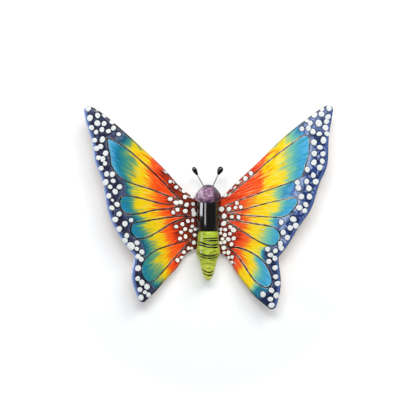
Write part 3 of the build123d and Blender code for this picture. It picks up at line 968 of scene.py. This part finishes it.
RIGHT_ROOT_ROWS = [
    [(251, 173.3), (245.5, 178.5, 1.05), (237.5, 182.3), (230.3, 187.3), (225, 194.8, 1.1)],
    [(237, 203, 0.9), (235.6, 207.6, 0.85), (241, 207.1, 0.9), (229, 209.1), (221.7, 209.2, 1.2)],
    [(224.3, 216.3, 1.15), (232, 217, 0.85), (238.7, 217.4, 0.9),
     (223.8, 223.7, 1.15), (230.4, 227.2, 0.9)],
    [(233.6, 230.2, 1.1), (225.4, 229.8, 0.9), (221, 229.6, 0.75), (220.6, 233.5, 0.7), (224.9, 235.2)],
    [(230.1, 234, 0.85), (222.6, 239.3, 0.8), (228.4, 239.5, 0.95),
     (233.9, 238.6, 0.9), (220.9, 243.1, 0.75)],
    [(224.7, 242.5, 0.85), (231.6, 244.5, 0.95), (223.9, 248.2), (224.3, 253, 0.7), (228.5, 253, 0.95)],
    [(232.3, 257.3, 0.75), (228.6, 258.2, 0.8), (231.6, 263, 0.9)],
]
drop_count = len(sum(LEFT_MARGIN_ROWS + LEFT_ROOT_ROWS + RIGHT_MARGIN_ROWS + RIGHT_ROOT_ROWS, []))
print("drops of glaze:", drop_count)

# %% [markdown]
# Each drop is mostly 5 to 8 mm across, a little out of round, with a flat top, a steep edge and the
# dimple that the nozzle leaves. Drops are real relief on the ornament, so each is a small dome
# draped over the skin, and one at the rim bends over it. The profile gives the rise of each ring of
# the dome, as shares of its width and height.

# %% One drop
DROP_HEIGHT = 0.6 * MM
DROP_DEPTH = 0.6 * MM
DROP_SEGMENTS = 22
DROP_PROFILE = [(0.14, 0.8), (0.3, 0.99), (0.6, 1.0), (0.8, 0.95), (0.93, 0.72), (1.0, 0.2)]
DIMPLE_RISE = 0.65
MOST_OVAL = 1.09
TWO_LOBES = 0.05
THREE_LOBES = 0.03


def add_drop(bm, surface, centre, width, rng):
    """One flat-topped drop of stiff glaze, a little out of round, with the nozzle's dimple."""
    foot = bm.verts.layers.float["foot"]
    turn = rng.uniform(0, math.pi)
    oval = rng.uniform(1.0, MOST_OVAL)
    wave = rng.uniform(0, 2 * math.pi)
    rings = []
    for share, rise in DROP_PROFILE + [(1.0, -DROP_DEPTH / DROP_HEIGHT)]:
        ring = []
        for k in range(DROP_SEGMENTS):
            angle = 2 * math.pi * k / DROP_SEGMENTS
            bulge = 1 + TWO_LOBES * math.sin(2 * angle + wave) + THREE_LOBES * math.sin(3 * angle)
            radius = width / 2 * share * bulge
            u, v = radius * math.cos(angle) * oval, radius * math.sin(angle) / oval
            across = u * math.cos(turn) - v * math.sin(turn)
            up = u * math.sin(turn) + v * math.cos(turn)
            hit, normal = drape(surface, centre + Vector((across, 0, up)))
            vert = bm.verts.new(hit + normal * DROP_HEIGHT * rise)
            vert[foot] = share
            ring.append(vert)
        rings.append(ring)
    for a, b in zip(rings, rings[1:]):
        for k in range(DROP_SEGMENTS):
            bm.faces.new([a[k], b[k], b[(k + 1) % DROP_SEGMENTS], a[(k + 1) % DROP_SEGMENTS]])
    hit, normal = drape(surface, centre)
    top = bm.verts.new(hit + normal * DROP_HEIGHT * DIMPLE_RISE)
    for k in range(DROP_SEGMENTS):
        bm.faces.new([top, rings[0][k], rings[0][(k + 1) % DROP_SEGMENTS]])
    bm.faces.new(rings[-1][::-1])


print("a drop stands", round(DROP_HEIGHT / MM, 1), "mm high on", len(DROP_PROFILE), "rings")

# %% [markdown]
# The white is a tin glaze, which is opaque, and so stiff that it hardly runs. Round the root it is
# painted whiter, as painted light against the shade of the body there. At the foot a grey-blue
# painted shade lies where the drop meets the wing.

# %% White tin glaze
MOTTLE_SIZE = 2.5 * MM
ROOT_REACH = (60 * MM, 35 * MM)
SHADED_FOOT = (0.86, 1.0)


def drop_finish(name):
    """Stiff white tin glaze: opaque and glossy, with painted light round the root and painted shade at the
    foot.
    """
    finish, tree = new_finish(name)
    spot = add_node(tree, "TexCoord")["Object"]
    mottle = add_node(tree, "TexNoise", {"Vector": spot, "Scale": 1 / MOTTLE_SIZE, "Detail": 2.0})[0]
    colour = two_tones(tree, mottle, 0.3, 0.75, "#E9EEEE", "#DCE1E1")
    sideways = add_node(tree, "SeparateXYZ", (spot,))[0]
    sideways = add_node(tree, "Math", (sideways,), operation="ABSOLUTE")[0]
    # whiter round the root: painted light against the shade of the body
    lit_at_body = add_node(tree, "MapRange", (sideways, *ROOT_REACH), **SOFT)[0]
    colour = tinted(tree, colour, "#FFFEF8", 0.9, lit_at_body)
    foot = add_node(tree, "Attribute", attribute_name="foot")["Fac"]
    # grey-blue at the foot: painted shade where the drop meets the wing
    thin = add_node(tree, "MapRange", (foot, *SHADED_FOOT), **SOFT)[0]
    colour = tinted(tree, colour, "#7C8494", 0.6, thin)
    cover(tree, mottle, 0.2 * MM, {"Base Color": colour, "Roughness": 0.25, "IOR": GLAZE_IOR})
    return finish


white_glaze = drop_finish("white_tin_glaze")
print("drops are covered in", white_glaze.name)

# %% [markdown]
# The drops of each wing go into one mesh. The hand varies, so every drop gets its own width, turn
# and bulge from a fixed row of chance numbers. The wing under them stores how far each of its
# vertices is from the edge of the nearest drop, which is what the painted shade round a drop goes by.

# %% Drops on both wings
DROP_WIDTH = 6.4 * MM
ROOT_DROP_WIDTH = 5.6 * MM
DROP_ROWS = {
    "left_wing": [(DROP_WIDTH, LEFT_MARGIN_ROWS), (ROOT_DROP_WIDTH, LEFT_ROOT_ROWS)],
    "right_wing": [(DROP_WIDTH, RIGHT_MARGIN_ROWS), (ROOT_DROP_WIDTH, RIGHT_ROOT_ROWS)],
}


def write_halo(skin, places, radii):
    """Stores how far each vertex of a wing is from the edge of the nearest drop, in mm."""
    tree = near_tree(places)
    numbers = []
    for v in skin.data.vertices:
        _, nearest, gap = tree.find(Vector((v.co.x, 0, v.co.z)))
        numbers.append((gap - radii[nearest]) / MM)
    store(skin.data, "halo", numbers)


rng = random.Random(11)
for wing_name, groups in DROP_ROWS.items():
    drops = bmesh.new()
    drops.verts.layers.float.new("foot")
    places, radii = [], []
    for usual_width, rows in groups:
        for column, line, *scale in sum(rows, []):
            share = scale[0] if scale else 1.0
            width = usual_width * share * rng.uniform(0.96, 1.04)
            add_drop(drops, surfaces[wing_name], place(column, line), width, rng)
            places.append(place(column, line))
            radii.append(width / 2)
    write_halo(skins[wing_name], places, radii)
    print(wing_name, "carries", len(places), "drops")
    finish_piece(drops, wing_name + "_drops", white_glaze)

# %% [markdown]
# ## Black thorax
#
# The thorax is glazed a deep glossy black. Black glaze shows no colour variation, so it lives from
# its reflections: the surface is a little wavy, as glaze runs down and the clay under it is pinched
# by hand, and that bends the highlights. Roughness is very low. Where the glaze lies thick, down
# the middle, it shines a second time, as under a clear coat.

# %% Thorax glaze
RUN_STRETCH = (1.0, 1.0, 0.04)
THICK_FADE = 1.2


def gloss_black(name, wave_size, wave_depth, thick_within=None):
    """Deep black glaze over pinched clay, with a second shine, down the middle only or all over."""
    finish, tree = new_finish(name)
    spot = add_node(tree, "TexCoord")["Object"]
    thick = 1.0
    if thick_within:
        sideways = add_node(tree, "SeparateXYZ", (spot,))[0]
        sideways = add_node(tree, "Math", (sideways,), operation="ABSOLUTE")[0]
        thick = add_node(tree, "MapRange", (sideways, thick_within * THICK_FADE, thick_within))[0]
    runs = add_node(tree, "VectorMath", (spot, RUN_STRETCH), operation="MULTIPLY")[0]
    wave = add_node(tree, "TexNoise", {"Vector": runs, "Scale": 1 / wave_size, "Detail": 1.0})[0]
    blacks = {0: wave, 6: linear("#050404"), 7: linear("#0F0C0B")}
    colour = add_node(tree, "Mix", blacks, data_type="RGBA")[2]
    coat = {"Coat Weight": thick, "Coat Roughness": 0.04}
    cover(tree, wave, wave_depth, {"Base Color": colour, "Roughness": 0.1, "IOR": GLAZE_IOR, **coat})
    return finish


def dress(node_name, finish):
    """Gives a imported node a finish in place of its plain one."""
    mesh = nodes[node_name].data
    if not mesh.materials:
        mesh.materials.append(finish)
    for i in range(len(mesh.materials)):
        mesh.materials[i] = finish
    print(node_name, "is finished in", finish.name)


dress("thorax", gloss_black("black_gloss_glaze", 7 * MM, 0.9 * MM, 10 * MM))

# %% [markdown]
# ## Lime abdomen
#
# The abdomen is a lime glaze over finger-ridged clay. The ridges are shallow and run round the
# body, so noise squeezed in Z serves as a bump and as darker lines where the glaze thins. Towards
# the tip, which faces down, the glaze is yellower and lighter, partly as painted light.

# %% Abdomen glaze
RIDGE_SIZE = 1.3 * MM
RIDGE_SQUEEZE = (0.16, 0.16, 1.0)
BROAD_SIZE = 8 * MM
BROAD_SQUEEZE = (0.5, 0.5, 1.0)
TIP_FADE = (-24 * MM, -66 * MM)


def lime_glaze():
    """Lime glaze, olive where it is thin on the ridges, and yellower and lighter towards the tip, partly as
    painted light.
    """
    finish, tree = new_finish("lime_gloss_glaze")
    spot = add_node(tree, "TexCoord")["Object"]
    squeezed = add_node(tree, "VectorMath", (spot, RIDGE_SQUEEZE), operation="MULTIPLY")[0]
    ridges = add_node(tree, "TexNoise", {"Vector": squeezed, "Scale": 1 / RIDGE_SIZE, "Detail": 2.0})[0]
    squeezed = add_node(tree, "VectorMath", (spot, BROAD_SQUEEZE), operation="MULTIPLY")[0]
    broad = add_node(tree, "TexNoise", {"Vector": squeezed, "Scale": 1 / BROAD_SIZE, "Detail": 2.0})[0]
    colour = two_tones(tree, broad, 0.35, 0.65, "#A2B82E", "#BCD044")
    height = add_node(tree, "SeparateXYZ", (spot,))[2]
    # yellower and lighter towards the tip: partly painted light
    tip = add_node(tree, "MapRange", (height, *TIP_FADE))[0]
    colour = tinted(tree, colour, "#EAF264", 0.95, tip)
    thin = add_node(tree, "MapRange", (ridges, 0.52, 0.34), **SOFT)[0]
    colour = tinted(tree, colour, "#66761C", 0.75, thin)
    relief = add_node(tree, "Math", (ridges, 0.35, broad), operation="MULTIPLY_ADD")[0]
    cover(tree, relief, 0.8 * MM, {"Base Color": colour, "Roughness": 0.16, "IOR": GLAZE_IOR})
    return finish


dress("abdomen", lime_glaze())

# %% [markdown]
# Four pairs of black rings are painted round the abdomen by hand. They bend and tilt, so each is a
# thin draped line like the wing outlines, with almost no height.

# %% Abdomen rings
RING_WIDTH = 1.85 * MM
RING_HEIGHT = 0.16 * MM
RING_LINES = [
    [(203, 239), (208, 238.3), (214, 238.1), (219.4, 238.3)],
    [(204.5, 240.8), (210, 240.5), (215, 240.3), (219.6, 240.3)],
    [(197.6, 241.6), (203, 243), (209, 244.6), (215, 244.9), (219.8, 244.3)],
    [(197.8, 244), (203, 245.7), (209, 247.2), (215, 247.4), (219.8, 246.8)],
    [(198, 251.8), (202, 254.2), (208, 255.6), (214, 255.2), (219.4, 252.8)],
    [(199, 255.3), (203, 257.2), (208, 258), (214, 257.8), (218.6, 256.2)],
    [(201, 268.6), (204.5, 271), (208.5, 272.4), (212, 271.7), (215, 269.8)],
    [(202, 272), (205, 274.2), (208.8, 275.5), (211.5, 274.9), (214, 273.4)],
]
abdomen_mesh = nodes["abdomen"].data
abdomen_faces = [list(p.vertices) for p in abdomen_mesh.polygons]
abdomen_surface = BVHTree.FromPolygons([v.co for v in abdomen_mesh.vertices], abdomen_faces)
ring_slip = slip_finish("ring_slip", "#10120A", "#2A3210")
rings = bmesh.new()
for line in RING_LINES:
    points = [place(*p) for p in line]
    add_raised_line(rings, abdomen_surface, points, RING_WIDTH, RING_HEIGHT, LINE_DEPTH)
finish_piece(rings, "abdomen_rings", ring_slip)

# %% [markdown]
# ## Mauve head
#
# The head is brushed with mauve over a paler lilac, in strokes that curl round the dome. Noise in
# polar places, fine from the middle outwards and long round it, gives strokes that curl the same
# way. The lilac shows most on the left, partly as a painted highlight. At the crown and on the
# right the mauve is darker, partly as painted shade.

# %% Head glaze
HEAD_MIDDLE = place(208.5, 193)
HEAD_FRONT_Y = -35 * MM
CURL_WIDTH = 1.7 * MM
CURL_TURN = 1.1
DRIFT_SIZE = 9 * MM
DRIFT_SHARE = 4.0
LILAC_LEFT = (-3 * MM, -10 * MM)
LILAC_LEAST = 0.22
LILAC_MOST = 0.75
DARK_CROWN = (4 * MM, 9 * MM)
DARK_RIGHT = (3 * MM, 9 * MM)


def head_glaze():
    """Mauve glaze swirled over lilac, the lilac partly a painted highlight on the left, with painted shade
    at the crown and on the right.
    """
    finish, tree = new_finish("swirled_mauve_glaze")
    spot = add_node(tree, "TexCoord")["Object"]
    centre = (HEAD_MIDDLE.x, HEAD_FRONT_Y, HEAD_MIDDLE.z)
    from_centre = add_node(tree, "VectorMath", (spot, centre), operation="SUBTRACT")[0]
    sideways, _, height = add_node(tree, "SeparateXYZ", (from_centre,))
    length = add_node(tree, "VectorMath", (from_centre,), operation="LENGTH")["Value"]
    turn = add_node(tree, "Math", (height, sideways), operation="ARCTAN2")[0]
    drift = add_node(tree, "TexNoise", {"Vector": spot, "Scale": 1 / DRIFT_SIZE, "Detail": 2.0})[0]
    out = add_node(tree, "Math", (length, CURL_WIDTH), operation="DIVIDE")[0]
    out = add_node(tree, "Math", (drift, DRIFT_SHARE, out), operation="MULTIPLY_ADD")[0]
    round_it = add_node(tree, "Math", (turn, CURL_TURN), operation="MULTIPLY")[0]
    curls = add_node(tree, "CombineXYZ", (out, round_it, 2.0))[0]
    brush = add_node(tree, "TexNoise", {"Vector": curls, "Scale": 1.0, "Detail": 2.0})[0]
    colour = two_tones(tree, brush, 0.38, 0.62, "#663E5E", "#A8789E")
    # the lilac shows more on the left, partly as a painted highlight
    left_side = add_node(tree, "MapRange", (sideways, *LILAC_LEFT), **SOFT)[0]
    left_side = add_node(tree, "Math", (left_side, LILAC_LEAST), operation="ADD")[0]
    lilac = add_node(tree, "MapRange", (brush, 0.44, 0.60), **SOFT)[0]
    lilac = add_node(tree, "Math", (lilac, left_side), operation="MULTIPLY")[0]
    lilac = add_node(tree, "Math", (lilac, LILAC_MOST), operation="MINIMUM")[0]
    colour = tinted(tree, colour, "#D6C6D6", 1.0, lilac)
    # darker at the crown and on the right: partly painted shade
    crown = add_node(tree, "MapRange", (height, *DARK_CROWN), **SOFT)[0]
    right_side = add_node(tree, "MapRange", (sideways, *DARK_RIGHT), **SOFT)[0]
    thick = add_node(tree, "Math", (crown, right_side), operation="MAXIMUM")[0]
    colour = tinted(tree, colour, "#2C1A28", 0.9, thick)
    relief = add_node(tree, "Math", (brush, 0.4, drift), operation="MULTIPLY_ADD")[0]
    cover(tree, relief, 0.6 * MM, {"Base Color": colour, "Roughness": 0.28, "IOR": GLAZE_IOR})
    return finish


mauve = head_glaze()
dress("head", mauve)
dress("hanger_lug", mauve)

# %% [markdown]
# ## Wires and beads
#
# The antennae are soft iron tie wire, grey and dull, and each ends in a clay drop glazed black. The
# hanger is the same kind of wire, thicker and rubbed brighter by nails and fingers. The skin of such
# wire is spotted with dull oxide, so its roughness is uneven. It keeps a metal's own default IOR.

# %% Wire and bead finishes
SPOT_SIZE = 1.2 * MM
OXIDE_SHARE = 0.2


def tie_wire(name, colour, roughness):
    """Drawn steel wire with a dull, slightly spotted skin."""
    finish, tree = new_finish(name)
    spot = add_node(tree, "TexCoord")["Object"]
    spots = add_node(tree, "TexNoise", {"Vector": spot, "Scale": 1 / SPOT_SIZE, "Detail": 3.0})[0]
    tint = two_tones(tree, spots, 0.45, 0.7, colour, "#5E5A55")
    uneven = add_node(tree, "Math", (spots, OXIDE_SHARE, roughness), operation="MULTIPLY_ADD")[0]
    cover(tree, spots, 0.05 * MM, {"Base Color": tint, "Metallic": 1.0, "Roughness": uneven})
    return finish


antenna_finish = tie_wire("dull_tie_wire", "#A5A19C", 0.3)
dress("left_antenna_wire", antenna_finish)
dress("right_antenna_wire", antenna_finish)
dress("hanger_ring", tie_wire("bright_hanger_wire", "#B9B5AE", 0.22))
bead_finish = gloss_black("black_bead_glaze", 4 * MM, 0.3 * MM)
dress("left_antenna_bead", bead_finish)
dress("right_antenna_bead", bead_finish)

# %% [markdown]
# ## The wall
#
# The ornament hangs on a plain white wall, which takes its soft shadows. The wall is there for what
# looks at it from in front: the camera, and mirror-like or transmitted rays, so that glaze and metal
# show it too. To them it has a little glow, which grows with the distance from the ornament until
# the wall melts into the white room. Other rays pass through. So the wall throws no light on the
# ornament, and the back, which is worth a look too, is lit by the room.

# %% Wall
WALL_GAP = 0.4 * MM
WALL_HALF = 1.0
WALL_GLOW = 0.14
GLOW_NEAR = 0.19
GLOW_FAR = 0.42


def wall_paint():
    """Matt white paint with a glow, for eyes in front; nothing at all for other rays."""
    finish, tree = new_finish("wall_paint")
    spot = add_node(tree, "TexCoord")["Object"]
    length = add_node(tree, "VectorMath", (spot,), operation="LENGTH")["Value"]
    strength = add_node(tree, "MapRange", (length, GLOW_NEAR, GLOW_FAR, WALL_GLOW, 1.0))[0]
    matt = add_node(tree, "BsdfDiffuse", {"Color": linear("#F1F3F4")})[0]
    glow = add_node(tree, "Emission", {"Color": linear("#FFFFFF"), "Strength": strength})[0]
    lit = add_node(tree, "AddShader", (matt, glow))[0]
    rays = add_node(tree, "LightPath")
    seen = add_node(tree, "Math", (rays["Is Camera Ray"], rays["Is Glossy Ray"]), operation="MAXIMUM")[0]
    seen = add_node(tree, "Math", (seen, rays["Is Transmission Ray"]), operation="MAXIMUM")[0]
    behind = add_node(tree, "NewGeometry")["Backfacing"]
    seen = add_node(tree, "Math", (seen, behind), operation="SUBTRACT", use_clamp=True)[0]
    clear = add_node(tree, "BsdfTransparent")[0]
    both = add_node(tree, "MixShader", (seen, clear, lit))[0]
    add_node(tree, "OutputMaterial", {"Surface": both})
    return finish


wall_mesh = bpy.data.meshes.new("wall")
low, high = -WALL_HALF, WALL_HALF
corners = [(x, WALL_GAP, z) for x, z in ((low, low), (high, low), (high, high), (low, high))]
wall_mesh.from_pydata(corners, [], [(0, 1, 2, 3)])
wall_mesh.materials.append(wall_paint())
wall = bpy.data.objects.new("wall", wall_mesh)
bpy.context.scene.collection.objects.link(wall)
print("wall faces", tuple(round(v, 2) for v in wall_mesh.polygons[0].normal))

# %% [markdown]
# ## Light
#
# A long soft strip far out on the left catches the rim and outer edge of the left wing. A key lamp
# high on the right throws the shadows down to the left, and a broad lamp above the camera fills the
# front. A panel on the left shines on the thorax and beads only. Their black glaze lives from what
# it mirrors, and the panel draws the tall bright band down the thorax without changing the wings.

# %% Lamps
AIM = Vector((0.0, -0.02, 0.02))


def soft_lamp(name, azimuth, elevation, distance, width, height, power, tint="#FFFFFF"):
    """A soft box that faces the ornament; degrees, metres and watts, azimuth 0 is the camera's."""
    data = bpy.data.lights.new(name, "AREA")
    data.shape = "RECTANGLE"
    data.size = width
    data.size_y = height
    data.energy = power
    data.color = linear(tint)[:3]
    lamp = bpy.data.objects.new(name, data)
    turn, rise = math.radians(azimuth), math.radians(elevation)
    way = Vector((math.sin(turn) * math.cos(rise), -math.cos(turn) * math.cos(rise), math.sin(rise)))
    lamp.location = AIM + way * distance
    lamp.rotation_mode = "QUATERNION"
    lamp.rotation_quaternion = way.to_track_quat("Z", "Y")
    bpy.context.scene.collection.objects.link(lamp)
    print(name, "shines from", [round(v, 2) for v in lamp.location])
    return lamp


soft_lamp("left_strip", -82, 4.2, 1.1, 0.62, 0.2, 3.0, "#F0F5FF")
body_panel = soft_lamp("body_panel", -30, 1.6, 1.5, 0.62, 0.52, 4.9)
on_the_body = bpy.data.collections.new("on_the_body")
for node_name in ("thorax", "left_antenna_bead", "right_antenna_bead"):
    on_the_body.objects.link(nodes[node_name])
body_panel.light_linking.receiver_collection = on_the_body
soft_lamp("right_key", 34, 36, 1.7, 0.8, 0.7, 11.5, "#FFFDF9")
soft_lamp("front_fill", -4, 30, 1.7, 1.0, 0.5, 16.0, "#FFFDF9")

# %% [markdown]
# The room gives the light that comes from everywhere. To the camera it is plain white. As light it
# is dim in front and brighter from the wall's side, in the wall's stead, and that lifts the rims and
# the back. In mirror-like reflections it is dimmest of all in front, which keeps the dark glazes
# deep, and white on the wall's side.

# %% Room
ROOM_LIGHT = 0.36
WALL_LIGHT = 0.65
MIRRORED_ROOM = 0.1
MIRROR_TURN = -0.1
FULLY_WALL = 0.5
world = bpy.data.worlds.new("studio")
bpy.context.scene.world = world
world.use_nodes = True
room = world.node_tree
room.nodes.clear()
rays = add_node(room, "LightPath")
direction = add_node(room, "TexCoord")["Generated"]
toward_wall = add_node(room, "SeparateXYZ", (direction,))[1]
mirrored = (toward_wall, MIRROR_TURN, FULLY_WALL, MIRRORED_ROOM, 1.0)
mirrored = add_node(room, "MapRange", mirrored)[0]
bounced = (toward_wall, 0.0, FULLY_WALL, ROOM_LIGHT, WALL_LIGHT)
bounced = add_node(room, "MapRange", bounced)[0]
mirror_rays = (rays["Is Glossy Ray"], rays["Is Transmission Ray"])
mirror_rays = add_node(room, "Math", mirror_rays, operation="MAXIMUM")[0]
level = add_node(room, "Mix", {0: mirror_rays, 2: bounced, 3: mirrored})[0]
level = add_node(room, "Mix", {0: rays["Is Camera Ray"], 2: level, 3: 1.0})[0]
whites = {0: rays["Is Camera Ray"], 6: linear("#F4F8FF"), 7: linear("#FFFFFF")}
cool_white = add_node(room, "Mix", whites, data_type="RGBA")[2]
glow = add_node(room, "Background", {"Color": cool_white, "Strength": level})[0]
add_node(room, "OutputWorld", {"Surface": glow})
print("room light", ROOM_LIGHT, "in front and", WALL_LIGHT, "from the wall's side")

# %% [markdown]
# ## Camera
#
# The photograph looks level and square at the ornament, from far enough away that nothing looks
# wide. A long lens does the same. The distance follows from the real width that the photograph
# covers, measured in the plane of the wings' faces.

# %% Camera
FRAME_PIXELS = 416
WINGS_PLANE_Y = -0.022
LENS = 120.0
SENSOR = 36.0
camera_data = bpy.data.cameras.new("camera")
camera_data.lens = LENS
camera_data.sensor_width = SENSOR
camera = bpy.data.objects.new("camera", camera_data)
bpy.context.scene.collection.objects.link(camera)
bpy.context.scene.camera = camera
middle = place(FRAME_PIXELS / 2, FRAME_PIXELS / 2)
distance = FRAME_PIXELS * PIXEL * LENS / SENSOR
camera.location = (middle.x, WINGS_PLANE_Y - distance, middle.z)
camera.rotation_euler = (math.radians(90), 0, 0)
bpy.context.scene.view_settings.view_transform = "Standard"
print("camera stands", round(distance, 2), "m away")
